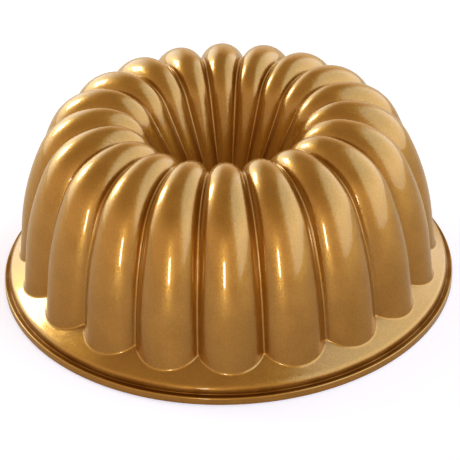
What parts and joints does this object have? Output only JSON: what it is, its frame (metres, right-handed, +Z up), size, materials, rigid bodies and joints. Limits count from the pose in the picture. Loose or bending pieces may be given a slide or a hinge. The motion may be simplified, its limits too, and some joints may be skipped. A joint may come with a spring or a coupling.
{
  "type": "bundt pan",
  "caption": "Round ring-shaped cake pan of cast aluminium with plain rounded flutes, an open centre tube and a stepped rim, stored upside down on its rim.",
  "frame": {"origin": "centre of the plane that the rim stands on, on the pan's axis", "axes": "+Z up along the pan's axis, from the rim towards the crown, with the pan upside down; one flute is centred on +X and one on -Y"},
  "size_m": [0.262, 0.262, 0.1069],
  "materials": {
    "cast_aluminium": "ground bare on the standing ring, fine cast grain elsewhere",
    "gold_finish": "baked metallic gold finish with fine flake, satin gloss",
    "nonstick": "satin non-stick coating, dark gold"
  },
  "bodies": {
    "root": {"aluminium_casting": "cast_aluminium", "exterior_gold_finish": "gold_finish", "nonstick_lining": "nonstick"}
  },
  "joints": []
}
